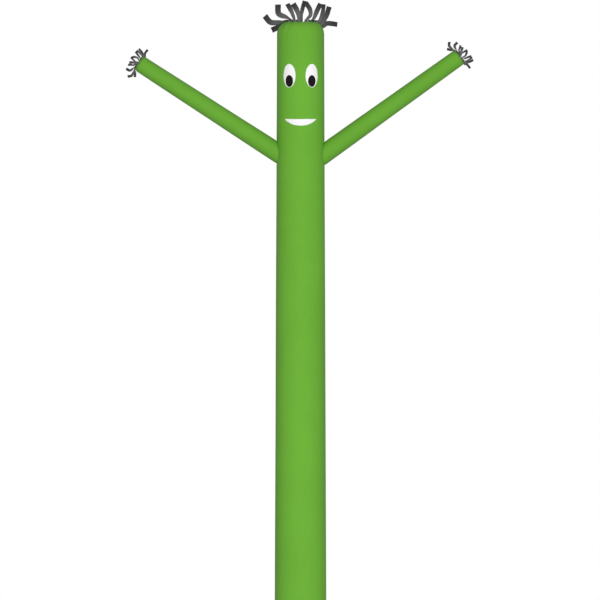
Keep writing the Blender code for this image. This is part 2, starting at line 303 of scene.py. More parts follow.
def feed(tree, node, feeds):
    """Link or set a node's inputs."""
    for socket, value in feeds.items():
        if isinstance(value, bpy.types.NodeSocket):
            tree.links.new(value, node.inputs[socket])
        else:
            node.inputs[socket].default_value = value


def add_node(tree, kind, feeds=None, out=0, **settings):
    """Add a node with its settings and inputs, and give one of its outputs."""
    made = tree.nodes.new(kind)
    for name, value in settings.items():
        setattr(made, name, value)
    feed(tree, made, feeds or {})
    return made.outputs[out]


def maths(tree, operation, *values):
    return add_node(tree, "ShaderNodeMath", dict(enumerate(values)), operation=operation)


def remap(tree, value, low, high, to_low, to_high, smooth="LINEAR"):
    feeds = {"Value": value, "From Min": low, "From Max": high, "To Min": to_low,
             "To Max": to_high}
    return add_node(tree, "ShaderNodeMapRange", feeds, interpolation_type=smooth)


def noise_at(tree, place, scale, detail):
    return add_node(tree, "ShaderNodeTexNoise",
                    {"Vector": place, "Scale": scale, "Detail": detail}, out="Fac")


def new_group(name, kind, inputs, outputs):
    """A node group. Inputs and outputs have a socket kind, or the number that they start with."""
    tree = bpy.data.node_groups.new(name, kind)
    for way, sockets in (("INPUT", inputs), ("OUTPUT", outputs)):
        for label, value in sockets.items():
            of_kind = value if isinstance(value, str) else "Float"
            socket = tree.interface.new_socket(name=label, in_out=way,
                                               socket_type="NodeSocket" + of_kind)
            if value != of_kind:
                socket.default_value = value
    return tree, tree.nodes.new("NodeGroupInput").outputs, tree.nodes.new("NodeGroupOutput")


def make_woven_finish():
    """Thin woven cloth: slightly uneven dye, threads, crinkles and raised ripstop squares."""
    tree, given, result = new_group(
        "woven_cloth", "ShaderNodeTree",
        {"Dye": "Color", "Dye Unevenness": 0.05, "Thread Pitch": 0.0009,
         "Thread Relief": 0.000015, "Ripstop Pitch": 0.008, "Ripstop Relief": 0.00012,
         "Crinkle Relief": 0.00015, "Roughness": 0.45, "Foot Dust": 0.0},
        {"Colour": "Color", "Roughness": "Float", "Height": "Float"})

    coordinates = add_node(tree, "ShaderNodeTexCoord").node.outputs
    flat = add_node(tree, "ShaderNodeSeparateXYZ", {0: coordinates["UV"]}).node.outputs
    turn_rate = maths(tree, "DIVIDE", 2 * pi, given["Thread Pitch"])
    warp, weft = [maths(tree, "SINE", maths(tree, "MULTIPLY", flat[axis], turn_rate))
                  for axis in "XY"]
    weave = maths(tree, "MULTIPLY", maths(tree, "MULTIPLY", warp, weft), given["Thread Relief"])

    half_pitch = maths(tree, "DIVIDE", given["Ripstop Pitch"], 2.0)
    lines = [remap(tree, maths(tree, "PINGPONG", flat[axis], half_pitch),
                   0.0002, 0.0007, 1.0, 0.0, "SMOOTHSTEP") for axis in "XY"]
    ripstop = maths(tree, "MAXIMUM", *lines)

    soft = noise_at(tree, coordinates["Object"], 2.3, 3.0)
    fine = noise_at(tree, coordinates["Object"], 26.0, 2.0)
    stretched = add_node(tree, "ShaderNodeMapping",
                         {"Vector": coordinates["UV"], "Scale": (60.0, 1.5, 1.0)})
    slubs = noise_at(tree, stretched, 6.0, 2.0)
    unevenness = maths(tree, "ADD", remap(tree, soft, 0.25, 0.75, -1.0, 1.0),
                       remap(tree, slubs, 0.25, 0.75, -0.6, 0.6))
    value = maths(tree, "MULTIPLY_ADD", unevenness, given["Dye Unevenness"], 1.0)
    value = maths(tree, "MULTIPLY_ADD", ripstop, 0.07, value)
    dyed = add_node(tree, "ShaderNodeHueSaturation", {"Color": given["Dye"], "Value": value})

    height = add_node(tree, "ShaderNodeSeparateXYZ", {0: coordinates["Object"]}, out="Z")
    dust = maths(tree, "MULTIPLY", remap(tree, height, 0.0, 0.30, 1.0, 0.0, "SMOOTHSTEP"),
                 remap(tree, fine, 0.35, 0.65, 0.3, 1.0))
    dust = maths(tree, "MULTIPLY", dust, given["Foot Dust"])
    dusty = add_node(tree, "ShaderNodeMix",
                     {"Factor": dust, 6: dyed, 7: (0.30, 0.27, 0.22, 1.0)}, out=2,
                     data_type="RGBA")

    rough = maths(tree, "ADD", given["Roughness"], remap(tree, fine, 0.3, 0.7, -0.05, 0.05))
    rough = maths(tree, "MULTIPLY_ADD", dust, 0.3, rough)
    relief = maths(tree, "MULTIPLY_ADD", ripstop, given["Ripstop Relief"], weave)
    relief = maths(tree, "MULTIPLY_ADD", fine, given["Crinkle Relief"], relief)
    feed(tree, result, {"Colour": dusty, "Roughness": rough, "Height": relief})
    return tree


WOVEN = make_woven_finish()


def new_material(name):
    material = bpy.data.materials.new(name)
    material.use_nodes = True
    return material, material.node_tree, material.node_tree.nodes["Principled BSDF"]


def woven_material(name, dye, sheen, tint=(1.0, 1.0, 1.0), **changes):
    """Cloth of one dye, with its own values for any of the woven finish's inputs."""
    material, tree, shader = new_material(name)
    feeds = {"Dye": (*dye, 1.0)}
    feeds.update({socket.replace("_", " "): value for socket, value in changes.items()})
    cloth = add_node(tree, "ShaderNodeGroup", feeds, node_tree=WOVEN).node.outputs
    bump = add_node(tree, "ShaderNodeBump", {"Height": cloth["Height"], "Distance": 1.0})
    feed(tree, shader, {"Base Color": cloth["Colour"], "Roughness": cloth["Roughness"],
                        "Normal": bump, "Specular IOR Level": 0.12, "Sheen Weight": sheen,
                        "Sheen Roughness": 0.45, "Sheen Tint": (*tint, 1.0)})
    return material


GREEN = (0.147, 0.415, 0.039)
GREEN_SHEEN = (0.02, (0.6, 1.0, 0.4))
green_nylon = woven_material("Green ripstop nylon", GREEN, *GREEN_SHEEN, Foot_Dust=0.35)

# Daylight comes through the thin cloth, so its inside is lit green wherever it can be seen. This
# glow is painted in: the inside cloth gives off its own green light.
green_inside_painted_glow = woven_material("Green nylon, inside", GREEN, *GREEN_SHEEN)
feed(green_inside_painted_glow.node_tree, green_inside_painted_glow.node_tree.nodes["Principled BSDF"],
     {"Emission Color": (0.05, 0.17, 0.012, 1.0), "Emission Strength": 1.0})


def fit(piece, slot, cloths=(), node=None):
    """Give a piece its cloths, outside first, tie it to the body and hide the CAD node that it
    stands in for. The slot is not used.
    """
    for cloth in cloths:
        piece.data.materials.append(cloth)
    if len(cloths) == 2:
        piece.modifiers["Cloth thickness"].material_offset = 1
    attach(piece, "root")
    if node:
        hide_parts(node)
    return piece


tube = fit(make_tube(), "tube_cloth", (green_nylon, green_inside_painted_glow), "body_tube")


# ----------------------------------------
# The seam down the back of the tube, felled: the two edges of the cloth are folded into each
# other and sewn flat, so the seam stands up as a narrow double band with slight puckers.
# ----------------------------------------
SEAM_WIDTH = 0.014
SEAM_HEIGHT = 0.0011


def back_seam_angle(rise, offset):
    """Angle of a place across the back seam, which wanders a little on its way up."""
    wander = 0.0012 * noise.noise((3.0, 0.0, rise * 1.7))
    return pi + (offset * SEAM_WIDTH + wander) / wall_radius(rise)


def felled_seam(name, width, folds, stations, place_at):
    """Sweep folds along a seam. They are given as offset and lift, from its middle outwards."""
    folds = [(-offset, lift) for offset, lift in folds[:0:-1]] + list(folds)
    rows = [[place_at(station, offset, lift) for offset, lift in folds] for station in stations]
    across = [offset * width for offset, lift in folds]
    return woven_sheet(name, rows, (across, stations), joined=False)


def on_back_seam(rise, offset, lift):
    pucker = 0.00025 * sin(rise * 2 * pi / 0.037 + 2 * noise.noise((0, 0, rise * 5)))
    return tube_place(back_seam_angle(rise, offset), rise,
                      lift * SEAM_HEIGHT + (pucker if lift > 0 else 0.0))


rises = spread(0.001, SHOULDER, 0.011) + spread(SHOULDER, CLOTH_TOP, 0.008)
folds = ((0.0, 1.0), (0.16, 0.95), (0.28, 0.55), (0.36, 0.95), (0.46, 0.55), (0.5, -0.6))
back_seam = fit(felled_seam("back_seam", SEAM_WIDTH, folds, rises, on_back_seam), "tube_cloth",
                [green_nylon])


# ----------------------------------------
# The sleeves: tapered tubes of the same nylon, sewn round the holes in the body. Each has one
# seam along its underside, and its hand is drawn in to a small hemmed vent.
# ----------------------------------------
SLEEVE_COLUMNS = 72
SLEEVE_PUCKERS = 13
SLEEVE_PUCKER_DEPTH = 0.0012
HAND_CROWN_HEIGHT = 0.030
HAND_RIM_RADIUS = 0.039
HAND_VENT_RADIUS = 0.036
HAND_VENT_HEM = 0.016
HAND_CLOTH = 0.052  # cloth from the sleeve's wall to the rim of the hand's vent
HAND_PLEATS = 9
HAND_PLEAT_DEPTH = 0.0024
ROOT_TUCK = 0.003  # how far the sleeve's edge goes into the tube's hole
UNDER_SEAM_WIDTH = 0.011
UNDER_SEAM_HEIGHT = 0.0010


def underside(sleeve):
    """Angle of the sleeve's lowest line in its own frame."""
    return 0.0 if sleeve.side > 0 else pi


def sleeve_root(sleeve, angle):
    """How far along the sleeve its cloth meets the tube, at an angle round the sleeve."""
    to_world = sleeve_frame(sleeve)
    low, high = 0.05, 0.50
    for _ in range(36):
        middle = (low + high) / 2
        place = to_world @ round_place(sleeve_radius(sleeve, middle), angle, middle)
        if hypot(place.x, place.y) < wall_radius(place.z):
            low = middle
        else:
            high = middle
    return high


def sleeve_wall(sleeve, angle):
    """Cloth from the tube to where the hand starts to close, at an angle round the sleeve."""
    return sleeve.reach - HAND_CROWN_HEIGHT - sleeve_root(sleeve, angle)


def sleeve_place(sleeve, angle, beyond, lift=0.0):
    """A place on a sleeve, beyond metres along its cloth from the tube, and lift off it."""
    wall = sleeve_wall(sleeve, angle)
    shoulder = sleeve.reach - HAND_CROWN_HEIGHT
    if beyond <= wall:
        along, lean = shoulder - wall + beyond, 0.0
        radius = sleeve_radius(sleeve, along)
        slack = 0.0007 * uneven(angle, along + 7.0 * sleeve.side, around=1.5, upward=2.5)
        slack += seam_pull(max(0.0, beyond), angle, SLEEVE_PUCKERS, SLEEVE_PUCKER_DEPTH,
                           1.0 - sleeve.side)
        depth = 0.2 * exp((beyond - wall) / 0.03)
    else:
        share = min(1.0, (beyond - wall) / HAND_CLOTH)
        lean = share * pi / 2
        radius = HAND_RIM_RADIUS + (SLEEVE_HAND_RADIUS - HAND_RIM_RADIUS) * cos(lean)
        along = shoulder + HAND_CROWN_HEIGHT * sin(lean)
        slack = 0.0
        depth = 0.2 + 0.8 * sin(pi * share ** 1.7)
    slack += HAND_PLEAT_DEPTH * depth * pleat_wave(angle, HAND_PLEATS)
    radius += (slack + lift) * cos(lean)
    along += (slack + lift) * sin(lean)
    return sleeve_frame(sleeve) @ round_place(radius, angle, along)


def make_sleeve(sleeve):
    angles = [underside(sleeve) + turn for turn in full_turn(SLEEVE_COLUMNS)]
    walls = [sleeve_wall(sleeve, angle) for angle in angles]
    length = min(walls)
    steps = [-ROOT_TUCK, 0.0, 0.003, 0.006] + spread(0.010, 0.13, 0.008)
    steps += spread(0.13, length - 0.05, 0.03) + spread(length - 0.05, length, 0.01)
    rows = []
    for step in steps:
        # Rows follow the slanting joint near the tube and end up square to the sleeve.
        share = step / length
        squared = min(1.0, max(0.0, (share - 0.05) / 0.5))
        rows.append([sleeve_place(sleeve, angle, share * (length + (wall - length) * squared))
                     for angle, wall in zip(angles, walls)])
    parts = spread(0.0, HAND_CLOTH, 0.0045) + [HAND_CLOTH]
    for part in parts:
        rows.append([sleeve_place(sleeve, angle, wall + part)
                     for angle, wall in zip(angles, walls)])
    along = steps + [length + part for part in parts]
    to_world = sleeve_frame(sleeve, sleeve.reach)
    for radius, drop in ((0.0378, -0.0001), (0.0366, 0.0004), (HAND_VENT_RADIUS, 0.0018),
                         (HAND_VENT_RADIUS, 0.008), (HAND_VENT_RADIUS, HAND_VENT_HEM)):
        rows.append([to_world @ round_place(radius, angle, -drop) for angle in angles])
        along.append(length + HAND_CLOTH + drop)
    across = even_marks(pi * (SLEEVE_ROOT_RADIUS + SLEEVE_HAND_RADIUS), SLEEVE_COLUMNS)
    return woven_sheet("sleeve_" + sleeve.name, rows, (across, along))


def on_under_seam(sleeve, beyond, offset, lift):
    """A place across the felled seam along a sleeve's underside."""
    pucker = 0.0002 * sin(beyond * 2 * pi / 0.031 + sleeve.side)
    radius = max(HAND_RIM_RADIUS, sleeve_radius(sleeve, beyond))
    return sleeve_place(sleeve, underside(sleeve) + offset * UNDER_SEAM_WIDTH / radius, beyond,
                        lift * UNDER_SEAM_HEIGHT + (pucker if lift > 0 else 0.0))


# The sleeves' nylon is painted a shade darker than the tube's: painted shade on the same cloth.
SLEEVE_PAINTED_SHADE_GREEN = (0.134, 0.378, 0.036)
shaded_sleeve_nylon = woven_material("Green ripstop nylon, sleeves", SLEEVE_PAINTED_SHADE_GREEN, *GREEN_SHEEN)
folds = ((0.0, 0.6), (0.3, 0.95), (0.45, 0.6), (0.5, -0.6))
sleeves, under_seams = {}, {}
for sleeve in SLEEVES:
    sleeves[sleeve] = fit(make_sleeve(sleeve), "tube_cloth", (shaded_sleeve_nylon, green_inside_painted_glow),
                          "arm_" + sleeve.name)
    wall = sleeve_wall(sleeve, underside(sleeve))
    stations = spread(0.001, wall, 0.010) + spread(wall, wall + HAND_CLOTH * 0.9, 0.006)
    seam = felled_seam("under_seam_" + sleeve.name, UNDER_SEAM_WIDTH, folds, stations,
                       partial(on_under_seam, sleeve))
    under_seams[sleeve] = fit(seam, "tube_cloth", [shaded_sleeve_nylon])


# ----------------------------------------
# The face: white eyes with black pupils and a white smile, cut from the same kind of cloth and
# sewn flat to the front of the tube. Each patch fits the tube's curve and swells a little
# between its stitched edges.
# ----------------------------------------
PATCH_LIFT = 0.0013
PATCH_SWELL = 0.0016
PATCH_CLOTH = 0.0007
PATCH_EDGE_POINTS = 96
PATCH_GAP = 0.0004  # between a pupil and the white it is sewn over
EYE_OUT = 0.104  # from the middle of the face, along the cloth
EYE_HEIGHT = 5.438
EYE_SIZE = (0.120, 0.205)
PUPIL_OUT = 0.102
PUPIL_HEIGHT = 5.391
PUPIL_SIZE = (0.072, 0.103)
MOUTH_TOP = 5.058
MOUTH_WIDTH = 0.296
MOUTH_TALL = 0.056

# A patch's edge and centre are places on the flat cloth, laid on the tube with the girth that it
# has at middle. Under gives how far the cloth that the patch is sewn to stands off the tube, and
# fill is the patch's share of the rectangle that it is cut from.
Patch = namedtuple("Patch", "name node slot centre size fill edge middle sewn_to under")


def between(start, end, share):
    """A place on the flat cloth, part of the way from start to end."""
    return [a + (b - a) * share for a, b in zip(start, end)]


def face_place(along, height, middle, lift):
    """Lay a place that is measured on the flat cloth on the front of the tube."""
    return tube_place(along / wall_radius(middle), height, lift)


def patch_lift(along, height, inside):
    """How far a patch stands off what it is sewn to, at a place inside its edge."""
    rounded = min(1.0, inside / 0.0012)
    lift = PATCH_LIFT * sqrt(max(0.0, 1 - (1 - rounded) ** 2))
    swell = PATCH_SWELL * (1 - exp(-max(0.0, inside - 0.006) / 0.014))
    swell *= 1 + 0.35 * noise.noise((along * 22, height * 16, 4.0))
    groove = 0.0005 * exp(-((inside - 0.006) / 0.0022) ** 2)
    return lift + swell - groove


def on_tube_cloth(along, height):
    return 0.0


def on_white(eye, along, height):
    """What a pupil lies on: the swell of the white patch under it."""
    width, tall = eye.size
    share = hypot((along - eye.centre[0]) / (width / 2), (height - eye.centre[1]) / (tall / 2))
    return patch_lift(along, height, (1 - share) * width / 2) + PATCH_GAP


def oval_patch(name, node, slot, centre, size, *under_it):
    edge = [(centre[0] + size[0] / 2 * cos(turn), centre[1] + size[1] / 2 * sin(turn))
            for turn in full_turn(PATCH_EDGE_POINTS)]
    return Patch(name, node, slot, centre, size, pi / 4, edge, EYE_HEIGHT, *under_it)


def mouth_edge():
    """A straight top edge over a shallow arc, with evenly spaced points."""
    radius = ((MOUTH_WIDTH / 2) ** 2 + MOUTH_TALL ** 2) / (2 * MOUTH_TALL)
    swing = asin(MOUTH_WIDTH / 2 / radius)
    half = PATCH_EDGE_POINTS // 2
    turns = [-swing + 2 * swing * i / half for i in range(half)]
    arc = [(radius * sin(turn), MOUTH_TOP - MOUTH_TALL + radius * (1 - cos(turn)))
           for turn in turns]
    return arc + [(MOUTH_WIDTH * (0.5 - i / half), MOUTH_TOP) for i in range(half)]


def sewn_patch(patch):
    """A patch with soft swelling inside its stitched border."""
    shape = bmesh.new()
    laid = shape.loops.layers.uv.new("UVMap")
    centre = patch.centre
    reach = min(dist(point, centre) for point in patch.edge)
    shares = [0.12, 0.25, 0.38, 0.5, 0.62, 0.72, 0.80, 0.87, 0.92, 0.955, 0.98, 0.993, 1.0]
    flat = {}

    def add(share, point):
        along, height = between(centre, point, share)
        inside = (1 - share) * max(reach, 0.4 * dist(point, centre))
        lift = patch.under(along, height) + patch_lift(along, height, inside)
        vert = shape.verts.new(face_place(along, height, patch.middle, lift))
        flat[vert] = (along, height)
        return vert

    hub = add(0.0, centre)
    rings = [[add(share, point) for point in patch.edge] for share in shares]
    count = len(patch.edge)
    for i in range(count):
        after = (i + 1) % count
        shape.faces.new((hub, rings[0][i], rings[0][after]))
        for inner, outer in zip(rings, rings[1:]):
            shape.faces.new((inner[i], outer[i], outer[after], inner[after]))
    for face in shape.faces:
        face.smooth = True
        for loop in face.loops:
            loop[laid].uv = flat[loop.vert]
    return finish_sheet(patch.name + "_patch", shape, PATCH_CLOTH)


plain_weave = {"Ripstop_Relief": 0.0, "Thread_Pitch": 0.0011, "Crinkle_Relief": 0.0001}
patch_cloths = {
    "white_patch": woven_material("White patch cloth", (0.93, 0.915, 0.93), 0.10,
                                  Dye_Unevenness=0.015, **plain_weave),
    "black_patch": woven_material("Black patch cloth", (0.010, 0.0085, 0.009), 0.06,
                                  (1.0, 0.9, 0.9), Roughness=0.5, **plain_weave)}
face = []
for name, side in (("left", -1), ("right", 1)):
    eye = oval_patch("eye_" + name, "eye_white_" + name, "white_patch",
                     (side * EYE_OUT, EYE_HEIGHT), EYE_SIZE, "tube", on_tube_cloth)
    pupil = oval_patch("pupil_" + name, "pupil_" + name, "black_patch",
                       (side * PUPIL_OUT, PUPIL_HEIGHT), PUPIL_SIZE, eye.name,
                       partial(on_white, eye))
    face += [eye, pupil]
face.append(Patch("smile", "mouth", "white_patch", (0.0, MOUTH_TOP - 0.45 * MOUTH_TALL),
                  (MOUTH_WIDTH, MOUTH_TALL), 0.68, mouth_edge(), MOUTH_TOP, "tube",
                  on_tube_cloth))
for patch in face:
    cloth = patch_cloths[patch.slot]
    fit(sewn_patch(patch), patch.slot, [cloth], patch.node)


# ----------------------------------------
# The hair: dark grey satin cut into strips and sewn, by an uncut band along one edge, inside
# the vent of the head and of each hand. The rising air throws the strips up and outwards.
# ----------------------------------------
HAND_HAIR_SCALE = 0.46
BAND_GAP = 0.0003
BAND_THICKNESS = 0.002
BAND_CLOTH = 0.0005  # each of the band's layers
STRIP_ROOT_WIDTH = 0.024
STRIP_ROOT_DEPTH = 0.009
STRIP_RISE = 0.008  # straight up from the rim before a strip bends
STRIP_STEPS = 9
WIDENING = 1.45  # a strip is as wide as its tip after 1 / WIDENING of its path
TURN_LENGTH = 0.76  # share of its path that a strip takes to turn its face
STRIP_CLOTH = 0.0008
RIPPLE = 0.006
RIPPLE_LENGTH = 0.03
SATIN_GREY = (0.062, 0.061, 0.063)
FRONT = 270  # degrees from +X
# Angles are in degrees from +X: where the strip's root is, and which way the face of its tip
# looks. Places (x, y, z) and the tip's width are in millimetres from the middle of the vent.
# Turns is how far along its path, in hundredths, the strip starts to turn its face.
Strip = namedtuple("Strip", "root near_rim further_out tip tip_width faces turns")
STRIPS = (
    Strip(20, (160, 68, 5), (193, 70, 82), (203, 72, 155), 36, 282, 4),
    Strip(41, (164, 116, -22), (222, 112, 48), (251, 108, 134), 44, 262, 6),
    Strip(63, (166, 174, -44), (234, 134, -12), (321, 106, -22), 44, FRONT, 4),
    Strip(86, (6, 99, 62), (16, 97, 112), (36, 88, 185), 36, 275, 4),
    Strip(108, (-24, 165, -4), (-18, 215, -58), (0, 222, -140), 44, 80, 4),
    Strip(130, (-88, 145, -2), (-105, 196, -50), (-92, 205, -128), 42, 115, 4),
    Strip(152, (-135, 88, 2), (-192, 118, -43), (-252, 130, -72), 48, 280, 4),
    Strip(190, (-150, -22, 3), (-256, -28, -6), (-312, -30, 52), 50, FRONT, 22),
    Strip(214, (-116, -59, 37), (-190, -52, 70), (-197, -40, 152), 50, 275, 20),
    Strip(236, (-70, -92, 66), (-90, -92, 110), (-116, -80, 157), 42, 285, 4),
    Strip(262, (-20, -98, 66), (-38, -95, 112), (-66, -86, 158), 48, FRONT, 4),
    Strip(302, (86, -90, 58), (80, -86, 112), (44, -76, 168), 42, 260, 4),
    Strip(340, (118, -36, 34), (143, -36, 94), (175, -32, 159), 42, 278, 10),
)


def around_z(degrees):
    return round_place(1.0, radians(degrees), 0.0)


def strip_path(root, rim, points):
    """Straight up the band, then one smooth curve through the strip's places."""
    stops = [rim] + points
    pulls = [Vector((0.0, 0.0, (stops[1] - rim).length))]
    for before, after in zip(stops, stops[2:]):
        pulls.append((after - before) / 2)
    pulls.append(stops[-1] - stops[-2])
    path = [root, root.lerp(rim, 0.5)]
    for start, end, leave, arrive in zip(stops, stops[1:], pulls, pulls[1:]):
        path += interpolate_bezier(start, start + leave / 3, end - arrive / 3, end,
                                   STRIP_STEPS + 1)[:-1]
    return path + [stops[-1]]


def strip_lines(to_world, vent_radius, scale, blown):
    """Every strip's middle line. Its stops aim the way that its width runs."""
    lines = []
    band_inner = vent_radius - BAND_GAP - BAND_THICKNESS
    for strip in STRIPS:
        outward = around_z(strip.root)
        root = outward * band_inner - Vector((0.0, 0.0, STRIP_ROOT_DEPTH))
        rim = outward * band_inner + Vector((0.0, 0.0, STRIP_RISE * scale))
        points = [blown @ (Vector(place) * 0.001 * scale)
                  for place in (strip.near_rim, strip.further_out, strip.tip)]
        path = strip_path(root, rim, points)
        facing, across = around_z(strip.faces), around_z(strip.root + 90)
        tip_width = strip.tip_width * 0.001
        last = len(path) - 1
        line = []
        for index, place in enumerate(path):
            along = (path[min(index + 1, last)] - path[max(index - 1, 0)]).normalized()
            share = index / last
            swing = min(1.0, max(0.0, (share - strip.turns / 100) / TURN_LENGTH))
            swing = swing * swing * (3 - 2 * swing)
            turned = along.cross(facing)
            if turned.dot(across) < 0:
                turned.negate()
            across = across * (1 - swing * turned.length) + turned * swing
            across = (across - along * across.dot(along)).normalized()
            widened = min(1.0, WIDENING * share)
            width = STRIP_ROOT_WIDTH + (tip_width - STRIP_ROOT_WIDTH) * widened
            line.append((to_world @ place, to_world.to_3x3() @ across, width * scale / 2, share))
        lines.append(line)
    return lines


def path_object(name, lines, closed=False):
    """Lines as a wire mesh. Each stop on them has a place, an aim, a half width and a share."""
    edges, first = [], 0
    for line in lines:
        last = first + len(line) - 1
        edges += [(i, i + 1) for i in range(first, last)]
        if closed:
            edges.append((last, first))
        first = last + 1
    places, aims, half_width, share = zip(*(stop for line in lines for stop in line))
    mesh = bpy.data.meshes.new(name)
    mesh.from_pydata(places, edges, [])
    for label, kind, key, values in (
            ("aim", "FLOAT_VECTOR", "vector", [part for aim in aims for part in aim]),
            ("half_width", "FLOAT", "value", half_width), ("share", "FLOAT", "value", share)):
        mesh.attributes.new(label, kind, "POINT").data.foreach_set(key, values)
    return new_object(name, mesh)


def grow(piece, tree, values):
    """Run a tree on the piece with the given inputs and keep the result as a plain mesh."""
    modifier = piece.modifiers.new(tree.name, "NODES")
    modifier.node_group = tree
    for socket in tree.interface.items_tree:
        if socket.in_out == "INPUT" and socket.name in values:
            modifier[socket.identifier] = values[socket.name]
    bpy.context.view_layer.update()
    evaluated = piece.evaluated_get(bpy.context.evaluated_depsgraph_get())
    mesh = bpy.data.meshes.new_from_object(evaluated)
    mesh.name = piece.name
    piece.modifiers.remove(modifier)
    piece.data = mesh
    return piece


def attribute(tree, name, kind="FLOAT"):
    return add_node(tree, "GeometryNodeInputNamedAttribute", {"Name": name}, data_type=kind)


def store(tree, geometry, name, value, kind="FLOAT", domain="POINT"):
    return add_node(tree, "GeometryNodeStoreNamedAttribute",
                    {"Geometry": geometry, "Name": name, "Value": value},
                    data_type=kind, domain=domain)


def finish_tree(tree, result, geometry, material):
    """Smooth the cloth or thread, make every copy real and give it its material."""
    for kind in ("GeometryNodeSetShadeSmooth", "GeometryNodeRealizeInstances"):
        geometry = add_node(tree, kind, {"Geometry": geometry})
    feed(tree, result, {0: add_node(tree, "GeometryNodeSetMaterial",
                                    {"Geometry": geometry, "Material": material})})
    return tree


def make_streamer_tree():
    """Sweeps a shallow gutter along each line, so that a strip is cupped as cut satin is.

    Cupping is how far the gutter is pulled in, as a share of half its width. Ripple is how far
    the cloth waves from side to side at the tip.
    """
    tree, given, result = new_group(
        "streamers", "GeometryNodeTree",
        {"Geometry": "Geometry", "Cupping": 0.35, "Ripple": "Float", "Ripple Length": "Float",
         "Cloth": "Material"}, {"Geometry": "Geometry"})
    across = attribute(tree, "aim", "FLOAT_VECTOR")
    half_width = attribute(tree, "half_width")
    curve = add_node(tree, "GeometryNodeMeshToCurve", {"Mesh": given["Geometry"]})
    curve = add_node(tree, "GeometryNodeSetCurveNormal", {"Curve": curve, "Normal": across},
                     mode="FREE")
    measure = add_node(tree, "GeometryNodeSplineParameter").node.outputs
    curve = store(tree, curve, "down", measure["Length"])
    middle = add_node(tree, "ShaderNodeCombineXYZ", {"Y": given["Cupping"]})
    gutter = add_node(tree, "GeometryNodeCurveQuadraticBezier",
                      {"Resolution": 6, "Start": (-1, 0, 0), "Middle": middle, "End": (1, 0, 0)})
    gutter = store(tree, gutter, "over", measure["Factor"])
    cloth = add_node(tree, "GeometryNodeCurveToMesh",
                     {"Curve": curve, "Profile Curve": gutter, "Scale": half_width})
    sideways = maths(tree, "MULTIPLY", attribute(tree, "over"),
                     maths(tree, "MULTIPLY", half_width, 2.0))
    laid = add_node(tree, "ShaderNodeCombineXYZ", {"X": sideways, "Y": attribute(tree, "down")})
    cloth = store(tree, cloth, "UVMap", laid, "FLOAT2", "CORNER")
    grain = noise_at(tree, add_node(tree, "GeometryNodeInputPosition"),
                     maths(tree, "DIVIDE", 1.0, given["Ripple Length"]), 1.0)
    ripple = maths(tree, "MULTIPLY", maths(tree, "SUBTRACT", grain, 0.5), given["Ripple"])
    free = maths(tree, "MULTIPLY", ripple, attribute(tree, "share"))
    push = add_node(tree, "ShaderNodeVectorMath", {0: across, "Scale": free}, operation="SCALE")
    cloth = add_node(tree, "GeometryNodeSetPosition", {"Geometry": cloth, "Offset": push})
    return finish_tree(tree, result, cloth, given["Cloth"])


def make_band(name, to_world, vent_radius, depth, columns):
    """The uncut edge of the hair, a ring inside the vent's hem."""
    inner, outer = vent_radius - BAND_GAP - BAND_THICKNESS, vent_radius - BAND_GAP
    outline = ((outer, -depth), (outer, -depth / 2), (outer, -0.0008), (outer - 0.0005, -0.0003),
               (inner + 0.0005, -0.0003), (inner, -0.0008), (inner, -depth / 2), (inner, -depth))
    rows = [[to_world @ round_place(radius, angle, height) for angle in full_turn(columns)]
            for radius, height in outline]
    along = [0.0, depth / 2, depth, depth, depth, depth, 1.5 * depth, 2 * depth]
    across = even_marks(2 * pi * outer, columns)
    return woven_sheet(name, rows, (across, along), thickness=BAND_CLOTH)


def make_satin():
    """Satin painted lighter from the strips' roots to their middles and darker towards their tips:
    painted light and painted shade along each strip.
    """
    satin = woven_material("Dark grey satin", SATIN_GREY, 0.15, Dye_Unevenness=0.12,
                           Ripstop_Relief=0.0, Thread_Pitch=0.0008, Crinkle_Relief=0.0002,
                           Roughness=0.40)
    tree = satin.node_tree
    # Painted light and painted shade: the dye is 1.95 times as light up to 0.4 of the way along
    # each strip, falling to 0.65 times at its tip.
    share = add_node(tree, "ShaderNodeAttribute", out="Fac", attribute_name="share")
    painted_light_and_shade = remap(tree, share, 0.40, 0.95, 1.95, 0.65, "SMOOTHSTEP")
    dye = add_node(tree, "ShaderNodeHueSaturation", {"Value": painted_light_and_shade, "Color": (*SATIN_GREY, 1.0)})
    feed(tree, tree.nodes["Group"], {"Dye": dye})
    return satin


grey_satin = make_satin()
streamer_tree = make_streamer_tree()
hair_places = [("head", Matrix.Translation((0.0, 0.0, TUBE_TOP)), VENT_RADIUS, VENT_HEM, 1.0,
                Matrix.Identity(4), 96)]
for sleeve in SLEEVES:
    blown = Matrix.Translation((sleeve.blown * 0.001, 0.0, 0.0))
    blown @= Matrix.Rotation(radians(sleeve.tipped), 4, "Y")
    hair_places.append(("hand_" + sleeve.name, sleeve_frame(sleeve, sleeve.reach),
                        HAND_VENT_RADIUS, HAND_VENT_HEM, HAND_HAIR_SCALE, blown, 48))
hair, bands = {}, {}
for name, to_world, vent_radius, depth, scale, blown, columns in hair_places:
    streamers = path_object("streamers_" + name, strip_lines(to_world, vent_radius, scale, blown))
    grow(streamers, streamer_tree, {"Ripple": RIPPLE * scale, "Cloth": grey_satin,
                                    "Ripple Length": RIPPLE_LENGTH * scale})
    thicken(streamers, STRIP_CLOTH * max(scale, 0.6), offset=0.0)
    hair[name] = fit(streamers, "strip_cloth", node="hair_" + name)
    bands[name] = fit(make_band("hair_band_" + name, to_world, vent_radius, depth, columns),
                      "strip_cloth", [grey_satin])


